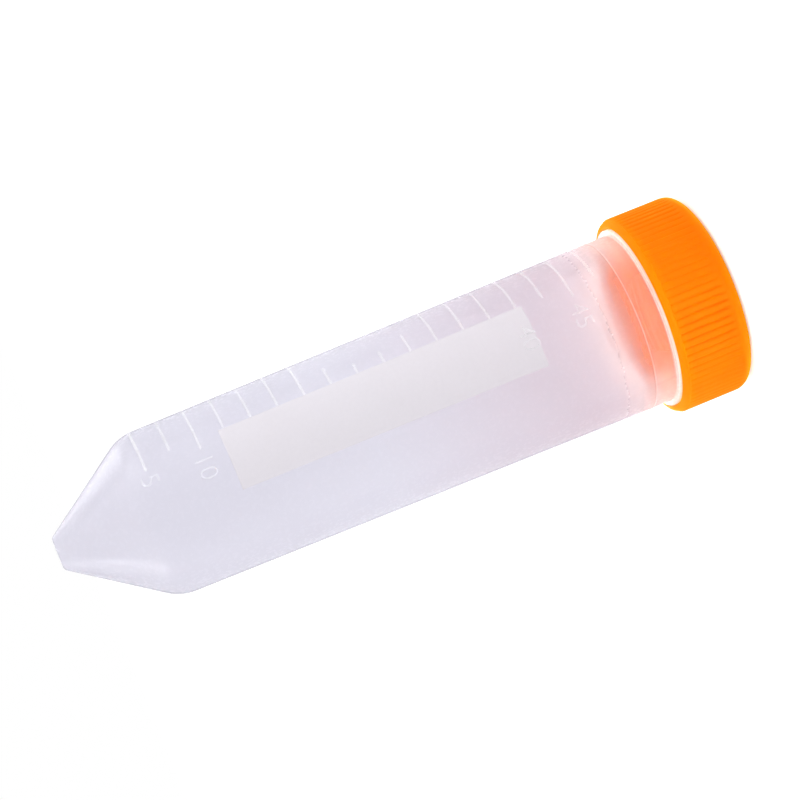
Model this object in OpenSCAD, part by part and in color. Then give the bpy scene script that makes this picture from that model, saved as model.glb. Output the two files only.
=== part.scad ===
// 50 ml conical centrifuge tube with its ribbed screw cap, standing upside down on the cap.
// The tube and cap are drawn upright, tip at the origin and axis along +Z, then turned over.

/* [Tube body] */
// Height of the cone, from the tip's end to the shoulder
cone_h = 15.7; // [12:0.1:20]
// Height of the body, from the shoulder to the neck
body_h = 83.2; // [60:0.1:100]
// Diameter of the tip's flat end, before its edge is rounded
tip_d = 5.4; // [3:0.1:9]
// Outer diameter at the shoulder, the narrow end of the body
shoulder_d = 27.5; // [24:0.1:28.5]
// Outer diameter of the neck, the wide end of the body
neck_d = 29.4; // [28.6:0.1:30.2]
// Radius that rounds the shoulder
shoulder_round = 8; // [2:0.5:12]
// Radius that rounds the edge of the tip
tip_round = 1; // [0.4:0.1:1.6]
// Thickness of the wall
wall = 1; // [0.7:0.05:1.4]
// Thickness of plastic at the tip's end
tip_wall = 1.5; // [0.8:0.1:3]

/* [Neck and mouth] */
// Height of the plain band below the collar
band_h = 3.6; // [2:0.1:6]
// Diameter of the collar below the thread
collar_d = 31.2; // [30.4:0.1:32]
// Height of the collar
collar_h = 1; // [0.6:0.1:2]
// Height of the threaded mouth above the collar
mouth_h = 10.2; // [9.5:0.1:13]
// Outer diameter of the mouth, at the root of its thread
mouth_d = 29.1; // [28.6:0.1:29.3]
// Radius that rounds the mouth's edge
mouth_round = 0.3; // [0.1:0.05:0.35]

/* [Thread] */
// Height from the collar to the start of the mouth's thread
thread_lead = 2.3; // [1.6:0.1:2.6]
// Rise of the thread in one turn
thread_pitch = 3.6; // [3:0.1:4.2]
// Turns of thread on the mouth and in the cap
thread_turns = 1.5; // [1:0.1:1.7]
// Height of the thread's ridge on the mouth
thread_h = 0.6; // [0.3:0.05:0.65]
// Height of the thread's ridge in the cap
cap_thread_h = 0.5; // [0.2:0.05:0.55]
// Width of the ridge at its root
thread_root = 1.5; // [1.2:0.1:1.6]
// Width of the ridge at its crest
thread_crest = 0.6; // [0.3:0.1:0.9]

/* [Cap] */
// Outer diameter of the cap, over its ribs
cap_d = 34.4; // [34:0.1:37]
// Height of the cap
cap_h = 12.6; // [12.5:0.1:13.4]
// Thickness of the cap's top
cap_top = 1.7; // [1.2:0.1:2.4]
// Radius that rounds the top's edge
top_round = 2; // [1:0.1:3]
// Radius that rounds the outer edge of the cap's open rim
lip_round = 1; // [0.4:0.1:1.1]
// Number of ribs round the cap
rib_count = 84; // [60:1:96]
// Depth of the grooves between the ribs
groove_depth = 0.3; // [0.15:0.05:0.4]
// Width of the grooves between the ribs
groove_w = 0.6; // [0.3:0.05:0.75]
// Depth of the ring that plugs the mouth
plug_h = 2.6; // [1.5:0.1:4]
// Thickness of the ring that plugs the mouth
plug_t = 0.9; // [0.6:0.1:1.4]

/* [Clearances] */
// Gap between the collar and the cap's skirt
skirt_gap = 0.35; // [0.3:0.05:0.6]
// Gap between the plug and the mouth's bore
plug_gap = 0.1; // [0.05:0.05:0.2]
// Gap between the mouth's edge and the cap's top
seat_gap = 0.1; // [0.05:0.05:0.3]

/* [Print] */
// Height of the first graduation mark above the tip's end
first_mark_z = 17.45; // [16:0.05:22]
// Distance from one graduation mark to the next
mark_step = 4.59; // [3.8:0.01:4.7]
// Width of a graduation mark
mark_w = 0.45; // [0.2:0.05:0.8]
// Angle round the tube at which whole marks start
mark_start = -66; // [-80:1:-40]
// Angle at which short marks end
short_end = -12; // [-25:1:0]
// Angle at which long marks end
long_end = -4; // [-15:1:10]
// Height of the writing patch's lower end above the tip's end
patch_z = 30.2; // [22:0.1:40]
// Length of the writing patch
patch_len = 52.4; // [30:0.1:60]
// Angle round the tube at which the patch starts
patch_start = -12; // [-30:1:0]
// Angle that the patch spans
patch_span = 44; // [20:1:80]
// Thickness of the print
ink_t = 0.05; // [0.03:0.01:0.1]

/* [Hidden] */

$fn = 96;
arc_steps = 12;
overcut = 0.5;

// Heights along the axis
neck_z = cone_h + body_h;
collar_z = neck_z + band_h;
mouth_z = collar_z + collar_h;
rim_z = mouth_z + mouth_h;
top_z = rim_z + seat_gap + cap_top;
lip_z = top_z - cap_h;

// Radii
tip_r = tip_d / 2;
shoulder_r = shoulder_d / 2;
neck_r = neck_d / 2;
collar_r = collar_d / 2;
mouth_r = mouth_d / 2;
bore_r = neck_r - wall;
cap_r = cap_d / 2;
skirt_r = collar_r + skirt_gap;
plug_r = bore_r - plug_gap;

// Slopes of the cone and the body, as radius gained for each unit of height
cone_slope = (shoulder_r - tip_r) / cone_h;
body_slope = (neck_r - shoulder_r) / body_h;
function body_r(z) = shoulder_r + (z - cone_h) * body_slope;

// The inside of the cone and the height at which it meets the inside of the body
cone_wall = wall * sqrt(1 + cone_slope * cone_slope);
inner_shoulder_z = cone_h + (cone_wall - wall) / (cone_slope - body_slope);
inner_shoulder_r = body_r(inner_shoulder_z) - wall;
inner_tip_r = tip_r + tip_wall * cone_slope - cone_wall;
inner_tip_round = min(tip_round, inner_tip_r);

// Graduations: every second mark is a long one, and four in the middle are partly worn away
mark_count = 18;
worn_marks = [7, 8, 9, 10];
worn_starts = [-28, -21, -23, -30];

// Sectors of a turn in the threads, turns over which their ends fade, the least share of their
// height at an end, and how far they reach into the wall that carries them
thread_steps = 48;
thread_fade = 0.12;
thread_thin = 0.02;
thread_sunk = 0.3;

// The cap's thread runs midway between the turns of the mouth's thread
thread_z = mouth_z + thread_lead;
cap_thread_z = thread_z - thread_pitch / 2;

function unit(v) = v / norm(v);

// Centre of the arc of radius r that rounds corner b between a and c
function round_centre(a, b, c, r) =
    let (u = unit(a - b), v = unit(c - b))
    b + unit(u + v) * r / sin(acos(u * v) / 2);

// Points of that arc, from a's side to c's side
function rounded(a, b, c, r) =
    let (u = unit(a - b), v = unit(c - b), reach = r / tan(acos(u * v) / 2),
         centre = round_centre(a, b, c, r),
         from = b + u * reach - centre, to = b + v * reach - centre,
         start = atan2(from.y, from.x),
         turn = (atan2(to.y, to.x) - start + 540) % 360 - 180)
    [for (i = [0:arc_steps])
        let (a = start + turn * i / arc_steps) centre + r * [cos(a), sin(a)]];

// Corners of the tube's outside and inside, as [radius, height]
tip_mid = [0, 0];
tip_edge = [tip_r, 0];
shoulder = [shoulder_r, cone_h];
neck = [neck_r, neck_z];
inner_tip_mid = [0, tip_wall];
inner_tip_edge = [inner_tip_r, tip_wall];
inner_shoulder = [inner_shoulder_r, inner_shoulder_z];
inner_neck = [bore_r, neck_z];

// Stands an upright piece on its head, on the cap's flat top, with its +X side to the front
module standing() {
    translate([0, 0, top_z]) rotate([180, 0, -90]) children();
}

// A helical ridge round the axis that starts at height z; r is its root, and depth its height,
// which is negative for a ridge that points inwards
module thread_ridge(r, depth, z) {
    sunk = -sign(depth) * thread_sunk;
    count = round(thread_turns * thread_steps);
    function fade(t) = max(thread_thin, min(1, t / thread_fade, (thread_turns - t) / thread_fade));
    function section(t) =
        let (grow = fade(t), mid = z + t * thread_pitch,
             root = thread_root / 2, crest = thread_crest / 2,
             half = root + (root - crest) * abs(sunk / depth))
        [[r + sunk, mid - half], [r + depth * grow, mid - crest],
         [r + depth * grow, mid + crest], [r + sunk, mid + half]];
    points = [for (i = [0:count]) let (t = i / thread_steps)
              for (p = section(t)) [p.x * cos(360 * t), p.x * sin(360 * t), p.y]];
    sides = [for (i = [0:count - 1]) for (j = [0:3])
             let (a = 4 * i + j, b = 4 * i + (j + 1) % 4)
             for (tri = [[a, b, a + 4], [b, b + 4, a + 4]]) tri];
    last = 4 * count;
    ends = [[0, 2, 1], [0, 3, 2], [last, last + 1, last + 2], [last, last + 2, last + 3]];
    polyhedron(points, [for (tri = concat(sides, ends)) depth > 0 ? tri : [tri[0], tri[2], tri[1]]]);
}

// One moulded piece: cone, tapering body, plain band, collar and threaded mouth
module tube() {
    section = concat(
        [tip_mid],
        rounded(tip_mid, tip_edge, shoulder, tip_round),
        rounded(tip_edge, shoulder, neck, shoulder_round),
        [neck, [neck_r, collar_z], [collar_r, collar_z], [collar_r, mouth_z], [mouth_r, mouth_z]],
        rounded([mouth_r, mouth_z], [mouth_r, rim_z], [bore_r, rim_z], mouth_round),
        rounded([mouth_r, rim_z], [bore_r, rim_z], inner_neck, mouth_round),
        [inner_neck],
        rounded(inner_neck, inner_shoulder, inner_tip_edge, shoulder_round - wall),
        rounded(inner_shoulder, inner_tip_edge, inner_tip_mid, inner_tip_round),
        [inner_tip_mid]);
    color([0.89, 0.89, 0.94]) standing() {
        rotate_extrude() polygon(section);
        thread_ridge(mouth_r, thread_h, thread_z);
    }
}

// V-shaped grooves, cut lengthwise into the skirt between the ribs
module rib_grooves() {
    widen = (groove_depth + overcut) / groove_depth;
    for (i = [0:rib_count - 1])
        rotate([0, 0, i * 360 / rib_count])
            translate([0, 0, lip_z + lip_round])
                linear_extrude(cap_h - lip_round - top_round)
                    polygon([[cap_r - groove_depth, 0],
                             [cap_r + overcut, -groove_w / 2 * widen],
                             [cap_r + overcut, groove_w / 2 * widen]]);
}

// One moulded piece: ribbed skirt, flat top with a rounded edge, plug ring and inner thread
module cap() {
    ceiling_z = top_z - cap_top;
    section = concat(
        [[skirt_r, lip_z]],
        rounded([skirt_r, lip_z], [cap_r, lip_z], [cap_r, top_z], lip_round),
        rounded([cap_r, lip_z], [cap_r, top_z], [0, top_z], top_round),
        [[0, top_z], [0, ceiling_z], [plug_r - plug_t, ceiling_z], [plug_r - plug_t, ceiling_z - plug_h],
         [plug_r, ceiling_z - plug_h], [plug_r, ceiling_z], [skirt_r, ceiling_z]]);
    color([1, 0.55, 0.06]) standing() {
        difference() {
            rotate_extrude() polygon(section);
            rib_grooves();
        }
        thread_ridge(skirt_r, -cap_thread_h, cap_thread_z);
    }
}

// A field of print on the tapering body, from height z to z + h and from angle a to a + span
module print_field(z, h, a, span) {
    rotate([0, 0, a]) rotate_extrude(angle = span)
        polygon([[body_r(z), z], [body_r(z) + ink_t, z],
                 [body_r(z + h) + ink_t, z + h], [body_r(z + h), z + h]]);
}

// The scale: short and long marks in turn, printed round the front of the body
module graduation_marks() {
    color([0.97, 0.97, 0.99]) standing()
        for (i = [0:mark_count - 1]) {
            worn = search(i, worn_marks);
            start = len(worn) == 0 ? mark_start : worn_starts[worn[0]];
            z = first_mark_z + i * mark_step;
            under_patch = z > patch_z && z < patch_z + patch_len;
            end = under_patch ? patch_start : i % 2 == 0 ? long_end : short_end;
            print_field(z - mark_w / 2, mark_w, start, end - start);
        }
}

// The printed patch to write on
module writing_patch() {
    color([0.93, 0.92, 0.93]) standing() print_field(patch_z, patch_len, patch_start, patch_span);
}

tube();
cap();
graduation_marks();
writing_patch();
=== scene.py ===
import math

import bpy
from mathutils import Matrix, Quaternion, Vector


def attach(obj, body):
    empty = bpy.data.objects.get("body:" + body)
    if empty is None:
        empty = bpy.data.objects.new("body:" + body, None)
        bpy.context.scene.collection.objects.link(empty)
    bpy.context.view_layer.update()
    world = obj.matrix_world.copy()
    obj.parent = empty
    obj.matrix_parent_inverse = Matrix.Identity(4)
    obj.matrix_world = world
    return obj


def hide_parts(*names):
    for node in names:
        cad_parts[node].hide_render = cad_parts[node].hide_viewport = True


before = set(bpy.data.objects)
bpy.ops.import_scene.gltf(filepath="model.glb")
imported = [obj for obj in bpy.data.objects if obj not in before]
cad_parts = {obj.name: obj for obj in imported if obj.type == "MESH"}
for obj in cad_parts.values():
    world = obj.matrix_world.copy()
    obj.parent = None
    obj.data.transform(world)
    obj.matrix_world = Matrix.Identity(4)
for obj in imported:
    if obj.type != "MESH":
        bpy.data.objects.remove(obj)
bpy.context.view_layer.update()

# The bench and the studio: the capped tube stands on its head on a white bench, in a white
# room, under large soft lamps. The camera leans over on its side to look along the bench.
EYE = Vector((-0.161715, -0.339226, 0.112423))
AIM = Vector((0.002044, -0.000989, 0.054978))
EYE_ROLL = -112.068
EYE_LENS = 104.636
BENCH_REACH = 60
BENCH_WHITE = (0.9, 0.9, 0.905, 1)
BENCH_GLOW = 0.23


class Shade:
    """A value inside a finish. Sums on it add Math nodes."""

    def __init__(self, finish, socket):
        self.finish = finish
        self.socket = socket

    def sum(self, operation, first, second, clamp=False):
        settings = {"operation": operation, "use_clamp": clamp}
        return self.finish.node("ShaderNodeMath", settings, {0: first, 1: second})

    def __add__(self, other):
        return self.sum("ADD", self, other)

    def __radd__(self, other):
        return self.sum("ADD", other, self)

    def __sub__(self, other):
        return self.sum("SUBTRACT", self, other)

    def __rsub__(self, other):
        return self.sum("SUBTRACT", other, self)

    def __mul__(self, other):
        return self.sum("MULTIPLY", self, other)

    def __rmul__(self, other):
        return self.sum("MULTIPLY", other, self)

    def clamped(self):
        return self.sum("ADD", self, 0, clamp=True)


class Finish:
    """The nodes of one material, or of the world."""

    def __init__(self, owner):
        owner.use_nodes = True
        self.owner = owner
        self.tree = owner.node_tree
        self.tree.nodes.clear()

    def node(self, kind, settings=None, sockets=None, out=0):
        made = self.tree.nodes.new(kind)
        for name, value in (settings or {}).items():
            setattr(made, name, value)
        for name, value in (sockets or {}).items():
            if isinstance(value, Shade):
                self.tree.links.new(value.socket, made.inputs[name])
            else:
                made.inputs[name].default_value = value
        return Shade(self, made.outputs[out]) if len(made.outputs) else None

    def ramp(self, low, high, value):
        return self.node("ShaderNodeMapRange", {"clamp": True},
                         {"Value": value, "From Min": low, "From Max": high})

    def surface(self, shader):
        world = isinstance(self.owner, bpy.types.World)
        kind = "ShaderNodeOutputWorld" if world else "ShaderNodeOutputMaterial"
        self.node(kind, None, {"Surface": shader})
        return self.owner


eye = bpy.data.objects.new("eye", bpy.data.cameras.new("eye"))
bpy.context.scene.collection.objects.link(eye)
eye.location = EYE
eye.rotation_mode = "QUATERNION"
looking = (AIM - EYE).to_track_quat("-Z", "Y")
eye.rotation_quaternion = looking @ Quaternion((0, 0, 1), math.radians(EYE_ROLL))
eye.data.lens = EYE_LENS
eye.data.clip_start = 0.01
bpy.context.scene.camera = eye

bpy.context.scene.view_settings.view_transform = "Standard"

room = Finish(bpy.data.worlds.new("room"))
bpy.context.scene.world = room.owner
room.surface(room.node("ShaderNodeBackground", None, {"Color": (1, 1, 1, 1), "Strength": 1.0}))

bpy.ops.object.select_all(action="DESELECT")
bpy.ops.mesh.primitive_plane_add(size=BENCH_REACH)
bench = bpy.context.object
bench.name = "bench"
top = Finish(bpy.data.materials.new("bench_white"))
seen = [top.node("ShaderNodeLightPath", out=name)
        for name in ("Is Camera Ray", "Is Glossy Ray", "Is Transmission Ray")]
shown = (seen[0] + seen[1] + seen[2]).clamped()
lit = top.node("ShaderNodeBsdfDiffuse", None, {"Color": BENCH_WHITE})
glow = top.node("ShaderNodeEmission", None, {"Color": (1, 1, 1, 1), "Strength": BENCH_GLOW * shown})
bench.data.materials.append(top.surface(top.node("ShaderNodeAddShader", None, {0: lit, 1: glow})))

# Each lamp's place, as what it lights and a direction and distance from there, then its size,
# its power and the angle that it spreads over. Four broad lamps light the whole object. Four
# narrow beams add light to the cap alone, from behind, from both sides and from the front.
CAP_PLACE = Vector((0, 0, -0.004))
WIDEST_BEAM = 90
LAMPS = {
    "key": (AIM, (0.9, -0.9, 0.75), 0.75, 0.5, 2.0, 180),
    "rim": (AIM, (0.82, 0.35, 0.46), 0.75, 0.2, 0.7, 180),
    "back": (AIM, (-0.52, 0.46, 0.72), 0.8, 0.3, 1.15, 180),
    "fill": (AIM, (-0.9, 0.35, 0.45), 0.9, 0.8, 1.5, 180),
    "cap_back": (CAP_PLACE, (0.43, 0.89, 0.3), 0.35, 0.03, 0.0060, 4),
    "cap_left": (CAP_PLACE, (0.98, 0.1, 0.3), 0.35, 0.03, 0.0025, 4),
    "cap_right": (CAP_PLACE, (-0.75, 0.66, 0.3), 0.35, 0.03, 0.0015, 4),
    "cap_front": (CAP_PLACE, (-0.7, -0.7, 0.3), 0.35, 0.03, 0.0015, 4),
}
for name, (lit_place, way, distance, size, power, spread) in LAMPS.items():
    lamp = bpy.data.objects.new(name, bpy.data.lights.new(name, "AREA"))
    bpy.context.scene.collection.objects.link(lamp)
    lamp.location = lit_place + Vector(way).normalized() * distance
    lamp.rotation_euler = (lit_place - lamp.location).to_track_quat("-Z", "Y").to_euler()
    lamp.data.size = size
    lamp.data.energy = power
    lamp.data.spread = math.radians(spread)
    lamp.visible_camera = lamp.visible_transmission = spread > WIDEST_BEAM

# The screw cap: one piece of orange polyethylene. Its skirt is closely ribbed for the fingers,
# its lip is a plain rolled band, and its underside holds a thread and a ring that plugs the mouth.
MM = 0.001
CAP_R = 17.2
CAP_TOP = 115.5
LIP = 102.9
SKIRT_R = 15.95
CEILING = 113.8
PLUG_R = 13.6
PLUG_T = 0.9
PLUG_H = 2.6
LIP_ROUND = 1.0
BAND_R = 16.98
TOP_ROUND = 2.0
RIBS = 84
COLUMNS = 8
GROOVE = 0.26
THREAD_START = 105.8
PITCH = 3.6
TURNS = 1.5
THREAD_SUNK = 0.3
THREAD_ROOT, THREAD_CREST = 0.9, 0.3
THREAD_STEPS = 96
THREAD_FADE = 0.12
FADE_STEPS = 6
CAP_THREAD_H = 0.5
PLUG_EDGE = 0.3
SMOOTH_BELOW = 32
FACING_IN = 0.1
NEAR_AXIS = 0.0002


def rounded(before, corner, after, radius, steps=8):
    """Points of the arc that rounds a corner of an outline."""
    before, corner, after = Vector(before), Vector(corner), Vector(after)
    to_before = (before - corner).normalized()
    to_after = (after - corner).normalized()
    half = to_before.angle(to_after) / 2
    centre = corner + (to_before + to_after).normalized() * radius / math.sin(half)
    start = corner + to_before * radius / math.tan(half) - centre
    end = corner + to_after * radius / math.tan(half) - centre
    turn = start.angle_signed(end)
    points = []
    for i in range(steps + 1):
        a = -turn * i / steps
        points.append((centre.x + start.x * math.cos(a) - start.y * math.sin(a),
                       centre.y + start.x * math.sin(a) + start.y * math.cos(a)))
    return points


def drawn(name, outline):
    """Draws an outline of (radius, height) in millimetres beside the upright axis."""
    bpy.ops.object.select_all(action="DESELECT")
    bpy.ops.mesh.primitive_plane_add(size=MM)
    piece = bpy.context.object
    piece.name = name
    bpy.ops.object.mode_set(mode="EDIT")
    bpy.ops.mesh.select_all(action="SELECT")
    bpy.ops.mesh.merge(type="CENTER")
    here = Vector((0, 0, 0))
    for i, (radius, height) in enumerate(outline):
        there = Vector((radius * MM, 0, height * MM))
        if i == 0:
            bpy.ops.transform.translate(value=there)
        else:
            bpy.ops.mesh.extrude_vertices_move(TRANSFORM_OT_translate={"value": there - here})
        here = there
    bpy.ops.mesh.select_all(action="SELECT")
    return piece


def turned(name, outline, steps):
    """Turns an outline about the upright axis, and closes it."""
    piece = drawn(name, outline)
    bpy.ops.mesh.spin(steps=steps, angle=math.tau, center=(0, 0, 0), axis=(0, 0, 1))
    bpy.ops.mesh.select_all(action="SELECT")
    bpy.ops.mesh.remove_doubles(threshold=2e-6)
    bpy.ops.mesh.normals_make_consistent(inside=False)
    bpy.ops.object.mode_set(mode="OBJECT")
    return piece


def pressed(piece, chosen, grow):
    """Moves the chosen points of an upright piece to or from its axis."""
    bpy.ops.object.mode_set(mode="EDIT")
    bpy.ops.mesh.select_mode(type="VERT")
    bpy.ops.mesh.select_all(action="DESELECT")
    bpy.ops.object.mode_set(mode="OBJECT")
    for v in piece.data.vertices:
        radius, height = math.hypot(v.co.x, v.co.y) / MM, v.co.z / MM
        v.select = chosen(radius, height, math.atan2(v.co.y, v.co.x) % math.tau)
    bpy.ops.object.mode_set(mode="EDIT")
    bpy.ops.transform.resize(value=(grow, grow, 1), center_override=(0, 0, 0))
    bpy.ops.object.mode_set(mode="OBJECT")


def ridge(name, root, crest, start):
    """A screw thread's ridge, as an upright piece, with its ends run out into the wall."""
    out = 1 if crest > root else -1
    foot = root - out * THREAD_SUNK
    piece = drawn(name, [(foot, start - THREAD_ROOT), (crest, start - THREAD_CREST),
                         (crest, start + THREAD_CREST), (foot, start + THREAD_ROOT),
                         (foot, start - THREAD_ROOT)])
    bpy.ops.mesh.remove_doubles(threshold=1e-6)
    bpy.ops.object.mode_set(mode="OBJECT")
    screw = piece.modifiers.new("screw", "SCREW")
    screw.angle = math.tau * TURNS
    screw.screw_offset = PITCH * TURNS * MM
    screw.steps = screw.render_steps = int(THREAD_STEPS * TURNS)
    bpy.ops.object.modifier_apply(modifier=screw.name)
    for i in range(FADE_STEPS):
        left = (i + 0.5) / FADE_STEPS

        def at_end(radius, height, angle):
            turn = angle / math.tau
            turn += round((height - start) / PITCH - turn)
            from_end = max(0, min(turn, TURNS - turn)) / THREAD_FADE
            return (radius - root) * out > 0 and i <= from_end * FADE_STEPS < i + 1

        pressed(piece, at_end, (root + (crest - root) * left) / crest)
    bpy.ops.object.mode_set(mode="EDIT")
    bpy.ops.mesh.select_all(action="DESELECT")
    bpy.ops.mesh.select_non_manifold()
    bpy.ops.mesh.edge_face_add()
    bpy.ops.mesh.select_all(action="SELECT")
    bpy.ops.mesh.normals_make_consistent(inside=False)
    bpy.ops.object.mode_set(mode="OBJECT")
    return piece


def stood(piece, thread):
    """Melts a thread into an upright piece, and stands it on its head on the bench."""
    bpy.ops.object.select_all(action="DESELECT")
    piece.select_set(True)
    bpy.context.view_layer.objects.active = piece
    melt = piece.modifiers.new("melt", "BOOLEAN")
    melt.operation = "UNION"
    melt.solver = "EXACT"
    melt.object = thread
    bpy.ops.object.modifier_apply(modifier=melt.name)
    bpy.data.objects.remove(thread)
    piece.rotation_euler = (math.pi, 0, -math.pi / 2)
    piece.location = (0, 0, CAP_TOP * MM)
    bpy.ops.object.transform_apply(location=True, rotation=True, scale=True)
    bpy.ops.object.shade_smooth_by_angle(angle=math.radians(SMOOTH_BELOW))
    return piece


def line_inside(piece, skin, floor_way, floor_low, floor_high):
    """Gives the faces that look inwards their own skin, with the floor of the hollow."""
    piece.data.materials.append(skin)
    for face in piece.data.polygons:
        middle = face.center
        radial = Vector((middle.x, middle.y, 0))
        inwards = radial.length > NEAR_AXIS and face.normal.dot(radial.normalized()) < -FACING_IN
        floor = face.normal.z * floor_way > 0.5 and floor_low < middle.z < floor_high
        if inwards or floor:
            face.material_index = 1


groove_low, groove_high = LIP + LIP_ROUND, CAP_TOP - TOP_ROUND
skirt_middle = 108.5
outline = [(SKIRT_R, LIP)]
outline += rounded((SKIRT_R, LIP), (BAND_R, LIP), (BAND_R, CAP_TOP),
                   min(LIP_ROUND, (BAND_R - SKIRT_R) * 0.9))
outline += [(BAND_R, groove_low - 0.05), (CAP_R, groove_low + 0.05)]
outline += [(CAP_R, groove_low + 0.1), (CAP_R, groove_low + 0.2), (CAP_R, skirt_middle)]
outline += [(CAP_R, groove_high - run_out) for run_out in (1.0, 0.7, 0.4, 0.15)]
outline += rounded((CAP_R, LIP), (CAP_R, CAP_TOP), (0, CAP_TOP), TOP_ROUND)
outline += [(0, CAP_TOP), (0, CEILING), (PLUG_R - PLUG_T, CEILING),
            (PLUG_R - PLUG_T, CEILING - PLUG_H + PLUG_EDGE),
            (PLUG_R - PLUG_T + PLUG_EDGE, CEILING - PLUG_H),
            (PLUG_R - PLUG_EDGE, CEILING - PLUG_H), (PLUG_R, CEILING - PLUG_H + PLUG_EDGE),
            (PLUG_R, CEILING), (SKIRT_R, CEILING), (SKIRT_R, LIP)]
cap = turned("screw_cap", outline, RIBS * COLUMNS)
# The grooves between the ribs, pressed in column by column, with their ends run out
for deep, columns in ((1.0, (0,)), (0.4, (1, COLUMNS - 1))):
    for end, lowest, highest in ((0.6, groove_low + 0.05, groove_low + 0.15),
                                 (1.0, groove_low + 0.15, groove_high - 0.9),
                                 (0.75, groove_high - 0.9, groove_high - 0.6),
                                 (0.45, groove_high - 0.6, groove_high - 0.3),
                                 (0.15, groove_high - 0.3, groove_high - 0.05)):
        pressed(cap, lambda radius, height, angle: (
            radius > CAP_R - 0.01 and lowest < height < highest
            and round(angle / math.tau * RIBS * COLUMNS) % COLUMNS in columns),
            1 - GROOVE * deep * end / CAP_R)
cap = stood(cap, ridge("cap_thread", SKIRT_R, SKIRT_R - CAP_THREAD_H, THREAD_START - PITCH / 2))

# How far light passes the cap: a little at its top, more through its thin skirt
SOLID_GLOW = 0.1
SKIRT_GLOW, SKIRT_CLEAR = 0.5, 0.75
# Heights in metres above the bench between which each look fades in
# The lip band's yellower orange is painted glow, for light through its thin plastic.
PAINTED_LIP_GLOW_FADE = (0.0104, 0.0118)
SKIRT_FADE = (0.0003, 0.002)
LINING_FADE = (0.0019, 0.0024)
CAP_FLOOR = (0.001, 0.01)
orange = Finish(bpy.data.materials.new("orange_polyethylene"))
place = orange.node("ShaderNodeTexCoord", out="Object")
flow = orange.node("ShaderNodeTexNoise", None, {"Vector": place, "Scale": 90.0, "Detail": 2.0})
grain = orange.node("ShaderNodeTexNoise", None, {"Vector": place, "Scale": 2600.0, "Detail": 2.0})
colour = orange.node("ShaderNodeMix", {"data_type": "RGBA"},
                     {"Factor": flow, "A": (1.0, 0.275, 0.0, 1), "B": (1.0, 0.30, 0.001, 1)}, out=2)
height = orange.node("ShaderNodeSeparateXYZ", None, {0: place}, out="Z")
# Painted glow: the rolled lip band is coloured yellower orange.
band = orange.ramp(*PAINTED_LIP_GLOW_FADE, height)
colour = orange.node("ShaderNodeMix", {"data_type": "RGBA"},
                     {"Factor": band, "A": colour, "B": (1.0, 0.38, 0.0, 1)}, out=2)
skin = orange.node("ShaderNodeBump", None, {"Height": grain, "Strength": 0.12, "Distance": 0.00004})
solid = orange.node("ShaderNodeBsdfPrincipled", None, {
    "Base Color": colour, "Roughness": 0.5 + grain * 0.1, "IOR": 1.5, "Specular IOR Level": 0.05,
    "Sheen Weight": 1.0, "Sheen Roughness": 0.4, "Sheen Tint": (1.0, 0.72, 0.0, 1), "Normal": skin})
glowing = orange.node("ShaderNodeBsdfTranslucent", None, {"Color": (1.0, 0.42, 0.04, 1)})
skirt = orange.ramp(*SKIRT_FADE, height)
orange.surface(orange.node("ShaderNodeMixShader", None, {
    0: SOLID_GLOW + skirt * SKIRT_GLOW, 1: solid, 2: glowing}))
cap.data.materials.append(orange.owner)
lining = Finish(bpy.data.materials.new("orange_inside"))
place = lining.node("ShaderNodeTexCoord", out="Object")
flow = lining.node("ShaderNodeTexNoise", None, {"Vector": place, "Scale": 90.0, "Detail": 2.0})
solid = lining.node("ShaderNodeBsdfPrincipled", None, {
    "Base Color": (1.0, 0.29, 0.02, 1), "Roughness": 0.5 + flow * 0.1, "Specular IOR Level": 0.05})
seen_in = lining.node("ShaderNodeBsdfTransparent", None, {"Color": (1.0, 0.75, 0.55, 1)})
height = lining.node("ShaderNodeSeparateXYZ", None, {0: place}, out="Z")
skirt = lining.ramp(*LINING_FADE, height)
lining.surface(lining.node("ShaderNodeMixShader", None, {
    0: SOLID_GLOW + skirt * SKIRT_CLEAR, 1: solid, 2: seen_in}))
line_inside(cap, lining.owner, 1, *CAP_FLOOR)
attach(cap, "cap")
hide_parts("cap")

# The tube: one thin-walled moulding of natural polypropylene, milky in the body and clearer at
# the neck. The mould parts at the band, and its halves leave two fine lines up to the collar.
TIP_R, TIP_WALL, TIP_ROUND = 2.7, 1.5, 1.0
SHOULDER_R, SHOULDER, SHOULDER_ROUND = 13.75, 15.7, 8.0
NECK_R, NECK = 14.7, 98.9
COLLAR_R, COLLAR, MOUTH = 15.6, 102.5, 103.5
MOUTH_R, RIM, MOUTH_ROUND = 14.55, 113.7, 0.3
WALL = 1.0
PARTING = 0.05
MOUTH_THREAD_H = 0.6
TUBE_STEPS = 288
cone_slope = (SHOULDER_R - TIP_R) / SHOULDER
body_slope = (NECK_R - SHOULDER_R) / (NECK - SHOULDER)
cone_wall = WALL * math.hypot(1, cone_slope)
bore_r = NECK_R - WALL
turn_in = SHOULDER + (cone_wall - WALL) / (cone_slope - body_slope)
turn_in_r = SHOULDER_R + (turn_in - SHOULDER) * body_slope - WALL
floor_r = TIP_R + TIP_WALL * cone_slope - cone_wall


def body_r(height):
    return SHOULDER_R + (height - SHOULDER) * body_slope


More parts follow.
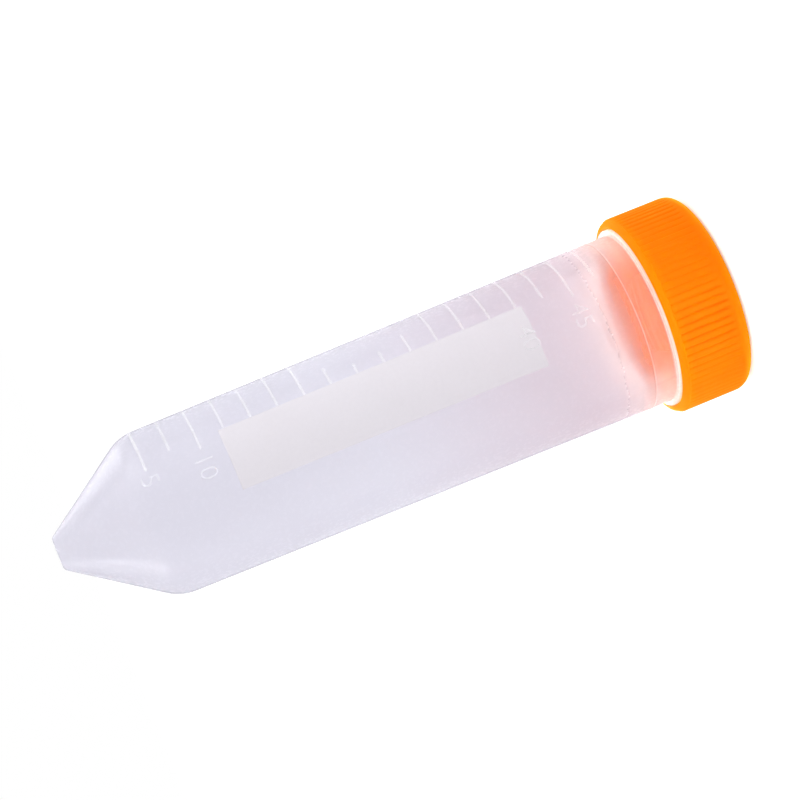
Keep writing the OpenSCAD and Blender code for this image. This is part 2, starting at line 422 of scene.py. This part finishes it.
outline = [(0, 0.35), (0.7, 0.3), (0.95, 0)]
outline += rounded((0, 0), (TIP_R, 0), (SHOULDER_R, SHOULDER), TIP_ROUND)
outline += rounded((TIP_R, 0), (SHOULDER_R, SHOULDER), (NECK_R, NECK), SHOULDER_ROUND, 14)
outline += [(body_r(h), h) for h in (24, 32, 40, 48, 56, 64, 72, 80, 88, 95, 98.55)]
outline += [(NECK_R + 0.01, 98.75), (NECK_R + PARTING, 98.85), (NECK_R + PARTING, 98.97),
            (NECK_R, 99.1), (NECK_R, COLLAR - 0.15), (NECK_R + 0.15, COLLAR),
            (COLLAR_R - 0.2, COLLAR), (COLLAR_R, COLLAR + 0.2), (COLLAR_R, MOUTH - 0.2),
            (COLLAR_R - 0.2, MOUTH), (MOUTH_R, MOUTH)]
outline += rounded((MOUTH_R, MOUTH), (MOUTH_R, RIM), (bore_r, RIM), MOUTH_ROUND, 5)
outline += rounded((MOUTH_R, RIM), (bore_r, RIM), (bore_r, NECK), MOUTH_ROUND, 5)
outline += [(bore_r, NECK)] + [(body_r(h) - WALL, h) for h in (88, 72, 56, 40, 28)]
outline += rounded((bore_r, NECK), (turn_in_r, turn_in), (floor_r, TIP_WALL),
                   SHOULDER_ROUND - WALL, 12)
outline += rounded((turn_in_r, turn_in), (floor_r, TIP_WALL), (0, TIP_WALL),
                   min(TIP_ROUND, floor_r), 6)
outline += [(0, TIP_WALL)]
tube = turned("tube_body", outline, TUBE_STEPS)
# The two fine lines of the split mould, on the band under the collar
SPLIT = 75
SPLIT_WIDE = 0.6
SPLIT_PROUD = 0.05
pressed(tube, lambda radius, height, angle: (
    radius > NECK_R - 0.1 and NECK + 0.1 < height < COLLAR - 0.1
    and abs((math.degrees(angle) - SPLIT + 90) % 180 - 90) < SPLIT_WIDE), 1 + SPLIT_PROUD / NECK_R)
tube = stood(tube, ridge("mouth_thread", MOUTH_R, MOUTH_R + MOUTH_THREAD_H, THREAD_START))

# Heights in metres above the bench between which each look of the plastic fades in or out
BODY_FADE = (0.0145, 0.0190)
THICK_FADE = (0.0170, 0.0260)
FROST_FADE = (0.0190, 0.0240)
COLLAR_FROM, COLLAR_TO = (0.0118, 0.0120), (0.0128, 0.0132)
# From 62 mm down to 21 mm above the bench, the wall's colours fade to a painted pink glow of the
# orange cap.
PAINTED_CAP_GLOW_FADE = (0.062, 0.021)
SEAM_FROM, SEAM_TO = (0.01645, 0.01652), (0.01666, 0.01673)
BORE_FLOOR = (0.11, 0.1145)
# The share of haze in the wall: at its clearest, and what each feature of the wall adds to it
CLEAREST = 0.24
BODY_HAZE, THICK_HAZE, COLLAR_HAZE = 0.04, 0.28, 0.6
SEAM_HAZE, CLOUD_HAZE, LIMB_HAZE = 0.3, 0.04, 0.42
milky = Finish(bpy.data.materials.new("natural_polypropylene"))
place = milky.node("ShaderNodeTexCoord", out="Object")
height = milky.node("ShaderNodeSeparateXYZ", None, {0: place}, out="Z")
body = milky.ramp(*BODY_FADE, height)
thick = milky.ramp(*THICK_FADE, height)
frost = milky.ramp(*FROST_FADE, height)
collar = milky.ramp(*COLLAR_FROM, height) - milky.ramp(*COLLAR_TO, height)
painted_cap_glow = milky.ramp(*PAINTED_CAP_GLOW_FADE, height)
cloud = milky.node("ShaderNodeTexNoise", None, {"Vector": place, "Scale": 60.0, "Detail": 3.0})
grain = milky.node("ShaderNodeTexNoise", None, {"Vector": place, "Scale": 1500.0, "Detail": 2.0})
skin = milky.node("ShaderNodeBump", None, {"Height": grain, "Strength": 0.06, "Distance": 0.00004})
# The wall's own lavender turns to a painted pink glow of the cap nearer the cap.
tint = milky.node("ShaderNodeMix", {"data_type": "RGBA"},
                  {"Factor": painted_cap_glow, "A": (0.65, 0.65, 0.74, 1), "B": (0.54, 0.45, 0.535, 1)}, out=2)
# Painted cap glow at the neck: its peach tint stands in for orange light from the cap.
tint = milky.node("ShaderNodeMix", {"data_type": "RGBA"},
                  {"Factor": body, "A": (1.0, 0.78, 0.71, 1), "B": tint}, out=2)
# Painted cap glow on the collar: its warm pinkish white stands in for light from the cap.
tint = milky.node("ShaderNodeMix", {"data_type": "RGBA"},
                  {"Factor": collar, "A": tint, "B": (1.0, 0.87, 0.81, 1)}, out=2)
# The clear share's colour takes the same painted pink glow of the cap.
water = milky.node("ShaderNodeMix", {"data_type": "RGBA"},
                   {"Factor": painted_cap_glow, "A": (0.94, 0.945, 0.97, 1),
                    "B": (0.90, 0.81, 0.83, 1)}, out=2)
# The neck's clear share is painted peach with the cap's glow too.
water = milky.node("ShaderNodeMix", {"data_type": "RGBA"},
                   {"Factor": body, "A": (1.0, 0.83, 0.74, 1), "B": water}, out=2)
clear = milky.node("ShaderNodeBsdfPrincipled", None, {
    "Base Color": water, "Roughness": 0.18 + frost * 0.14 + grain * 0.04, "IOR": 1.3,
    "Transmission Weight": 1.0, "Normal": skin})
sheer = milky.node("ShaderNodeBsdfTransparent", None, {"Color": (0.945, 0.945, 0.97, 1)})
# Painted cap glow: the see-through share turns pink nearer the cap.
sheer_painted_cap_glow = milky.node("ShaderNodeBsdfTransparent", None, {"Color": (0.90, 0.81, 0.83, 1)})
# Painted cap glow: the neck's see-through share is peach.
sheer_neck_painted_glow = milky.node("ShaderNodeBsdfTransparent", None, {"Color": (1.0, 0.83, 0.74, 1)})
sheer = milky.node("ShaderNodeMixShader", None, {0: painted_cap_glow, 1: sheer, 2: sheer_painted_cap_glow})
sheer = milky.node("ShaderNodeMixShader", None, {0: body, 1: sheer_neck_painted_glow, 2: sheer})
clear = milky.node("ShaderNodeMixShader", None, {0: 0.6 - 0.15 * frost, 1: clear, 2: sheer})
cloudy = milky.node("ShaderNodeBsdfPrincipled", None, {
    "Base Color": tint, "Roughness": 0.24 + grain * 0.06, "IOR": 1.49,
    "Specular IOR Level": 0.4, "Normal": skin})
through = milky.node("ShaderNodeBsdfTranslucent", None, {
    "Color": (0.73, 0.71, 0.78, 1), "Normal": skin})
# Painted cap glow: light through the neck wall is tinted pink.
neck_painted_glow = milky.node("ShaderNodeBsdfTranslucent", None, {"Color": (1.0, 0.77, 0.7, 1), "Normal": skin})
through = milky.node("ShaderNodeMixShader", None, {0: body, 1: neck_painted_glow, 2: through})
veil = milky.node("ShaderNodeMixShader", None, {0: 0.5 - collar * 0.3, 1: cloudy, 2: through})
seam = milky.ramp(*SEAM_FROM, height) - milky.ramp(*SEAM_TO, height)
facing = milky.node("ShaderNodeLayerWeight", None, {"Blend": 0.5}, out="Facing")
limb = milky.ramp(0.15, 0.6, facing) * (1 - body)
haze = (CLEAREST + body * BODY_HAZE + thick * THICK_HAZE + collar * COLLAR_HAZE
        + seam * SEAM_HAZE + cloud * CLOUD_HAZE + limb * LIMB_HAZE)
wall = milky.node("ShaderNodeMixShader", None, {0: haze, 1: clear, 2: veil})
dense = milky.node("ShaderNodeBsdfTransparent", None, {"Color": (0.6, 0.59, 0.66, 1)})
edge = milky.ramp(0.8, 0.97, facing) * (0.05 + 0.75 * frost)
milky.surface(milky.node("ShaderNodeMixShader", None, {0: edge, 1: wall, 2: dense}))
tube.data.materials.append(milky.owner)
bore = Finish(bpy.data.materials.new("smooth_bore"))
place = bore.node("ShaderNodeTexCoord", out="Object")
flow = bore.node("ShaderNodeTexNoise", None, {"Vector": place, "Scale": 120.0, "Detail": 2.0})
clear = bore.node("ShaderNodeBsdfPrincipled", None, {
    "Base Color": (0.985, 0.98, 0.99, 1), "Roughness": 0.05 + flow * 0.05, "IOR": 1.3,
    "Transmission Weight": 1.0})
sheer = bore.node("ShaderNodeBsdfTransparent", None, {"Color": (0.985, 0.98, 0.99, 1)})
bore.surface(bore.node("ShaderNodeMixShader", None, {0: 0.5, 1: clear, 2: sheer}))
line_inside(tube, bore.owner, -1, *BORE_FLOOR)
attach(tube, "tube")
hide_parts("tube")

# The scale: thin lines of white ink, rolled on through a screen. In the middle of the tube they
# are partly rubbed away. The solids of the frame are the lines, and the ink wears through here.
ink = Finish(bpy.data.materials.new("white_scale_ink"))
place = ink.node("ShaderNodeTexCoord", out="Object")
speck = ink.node("ShaderNodeTexNoise", None, {"Vector": place, "Scale": 1400.0, "Detail": 3.0})
patchy = ink.node("ShaderNodeTexNoise", None, {"Vector": place, "Scale": 260.0, "Detail": 2.0})
worn = ink.ramp(0.34, 0.5, 0.3 * speck + 0.7 * patchy)
film = ink.node("ShaderNodeBsdfPrincipled", None, {
    "Base Color": (0.95, 0.95, 0.94, 1), "Roughness": 0.5 + speck * 0.1})
bare = ink.node("ShaderNodeBsdfTransparent", None, {"Color": (1, 1, 1, 1)})
ink.surface(ink.node("ShaderNodeMixShader", None, {0: 0.13 + worn * 0.09, 1: bare, 2: film}))
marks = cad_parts["graduation_marks"]
marks.data.materials.clear()
marks.data.materials.append(ink.owner)

# The patch to write on: a broad field of matt off-white ink, a little uneven from the screen.
matt = Finish(bpy.data.materials.new("matt_patch_ink"))
place = matt.node("ShaderNodeTexCoord", out="Object")
speck = matt.node("ShaderNodeTexNoise", None, {"Vector": place, "Scale": 1800.0, "Detail": 3.0})
drift = matt.node("ShaderNodeTexNoise", None, {"Vector": place, "Scale": 70.0, "Detail": 2.0})
colour = matt.node("ShaderNodeMix", {"data_type": "RGBA"},
                   {"Factor": drift, "A": (0.755, 0.725, 0.76, 1),
                    "B": (0.775, 0.745, 0.78, 1)}, out=2)
tooth = matt.node("ShaderNodeBump", None, {"Height": speck, "Strength": 0.05, "Distance": 0.00002})
matt.surface(matt.node("ShaderNodeBsdfPrincipled", None, {
    "Base Color": colour, "Roughness": 0.6 + speck * 0.1, "Alpha": 0.66 + speck * 0.04,
    "Normal": tooth}))
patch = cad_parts["writing_patch"]
patch.data.materials.clear()
patch.data.materials.append(matt.owner)

# The numbers of the scale, in the same white ink, beside every second long line that has one.
# Their tops point to the cap, and they read round the tube.
FIGURES = {"5": (3.5, 17.3), "10": (9.0, 26.2), "40": (11.0, 81.25), "45": (10.5, 90.6)}
FIGURE_HIGH = 2.9
FIGURE_WIDE = 1.05
INK_LIFT = 0.065
HELD_OFF = 20
SLICE = 0.25
SLICES = 9
FIGURE_THIN = -0.012
faint = Finish(bpy.data.materials.new("faint_figure_ink"))
place = faint.node("ShaderNodeTexCoord", out="Object")
speck = faint.node("ShaderNodeTexNoise", None, {"Vector": place, "Scale": 1400.0, "Detail": 3.0})
film = faint.node("ShaderNodeBsdfPrincipled", None, {
    "Base Color": (0.95, 0.95, 0.97, 1), "Roughness": 0.5 + speck * 0.1})
bare = faint.node("ShaderNodeBsdfTransparent", None, {"Color": (1, 1, 1, 1)})
faint.surface(faint.node("ShaderNodeMixShader", None, {0: 0.19 + speck * 0.04, 1: bare, 2: film}))
for figure, (middle, height) in FIGURES.items():
    bpy.ops.object.select_all(action="DESELECT")
    bpy.ops.object.text_add()
    number = bpy.context.object
    number.data.body = figure
    number.data.align_x = "CENTER"
    number.data.align_y = "CENTER"
    number.data.size = 1.0
    number.data.offset = FIGURE_THIN
    bpy.ops.object.convert(target="MESH")
    number.name = "number_" + figure
    grow = FIGURE_HIGH * MM / number.dimensions.y
    number.scale = (grow * FIGURE_WIDE, grow, 1)
    bpy.ops.object.transform_apply(location=True, rotation=True, scale=True)
    bpy.ops.object.mode_set(mode="EDIT")
    for i in range(-SLICES, SLICES + 1):
        bpy.ops.mesh.select_all(action="SELECT")
        bpy.ops.mesh.bisect(plane_co=(i * SLICE * MM, 0, 0), plane_no=(1, 0, 0))
    bpy.ops.object.mode_set(mode="OBJECT")
    # The flat figure is held in front of its place, with its top to the cap, and laid on the tube
    number.rotation_euler = (math.pi / 2, math.pi, -math.radians(middle))
    way = Vector((-math.sin(math.radians(middle)), -math.cos(math.radians(middle)), 0))
    number.location = way * HELD_OFF * MM
    number.location.z = (CAP_TOP - height) * MM
    lay = number.modifiers.new("lay", "SHRINKWRAP")
    lay.target = tube
    lay.wrap_method = "PROJECT"
    lay.use_project_z = True
    lay.use_positive_direction = False
    lay.use_negative_direction = True
    lay.offset = INK_LIFT * MM
    bpy.ops.object.modifier_apply(modifier=lay.name)
    bpy.ops.object.transform_apply(location=True, rotation=True, scale=True)
    number.data.materials.append(faint.owner)
    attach(number, "tube")
